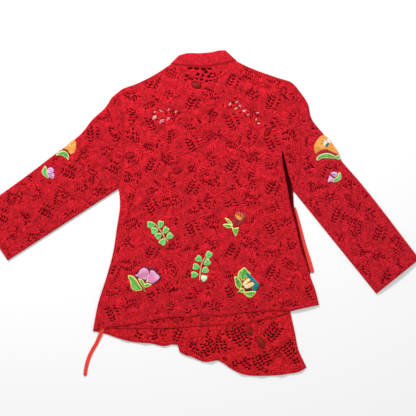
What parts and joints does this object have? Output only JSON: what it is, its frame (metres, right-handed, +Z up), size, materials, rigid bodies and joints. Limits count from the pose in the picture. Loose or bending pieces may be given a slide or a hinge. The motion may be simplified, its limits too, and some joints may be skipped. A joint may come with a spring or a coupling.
{
  "type": "lace top",
  "caption": "Red lace wrap top with a stand collar, cropped sleeves and embroidered flowers, laid flat with its back up.",
  "frame": {"origin": "on the surface that the top lies on, below the middle of its footprint", "axes": "+X across the body towards the wearer's right sleeve as the top lies with its back up, +Y from the hem to the neck, +Z up from the surface"},
  "size_m": [1.1066, 0.8152, 0.0087],
  "materials": {
    "red_lace": "matte corded cotton lace with leaf-shaped openwork",
    "red_lace_front": "matte corded cotton lace, slightly deeper, seen from its wrong side",
    "red_lace_collar": "matte dense lace of a stand collar",
    "coral_ribbon": "soft satin ribbon",
    "green_thread": "satin stitch in light green thread",
    "pink_thread": "satin stitch in pink thread",
    "teal_thread": "satin stitch in teal thread",
    "orange_thread": "satin stitch in orange thread",
    "maroon_thread": "satin stitch in maroon thread"
  },
  "bodies": {
    "root": {"front_outer": "red_lace_front", "front_inner": "red_lace_front", "back": "red_lace", "sleeve_left_lower": "red_lace", "sleeve_left_upper": "red_lace", "sleeve_right_lower": "red_lace", "sleeve_right_upper": "red_lace", "collar": "red_lace_collar", "tie_left": "coral_ribbon", "tie_right": "coral_ribbon", "applique_sprig_left": "green_thread", "applique_sprig_middle": "green_thread", "applique_bud": "maroon_thread", "applique_bloom_left": "pink_thread", "applique_bloom_right": "teal_thread", "applique_sleeve_left_bloom": "orange_thread", "applique_sleeve_left_bud": "pink_thread", "applique_sleeve_right_bloom": "orange_thread", "applique_sleeve_right_bud": "pink_thread"}
  },
  "joints": []
}
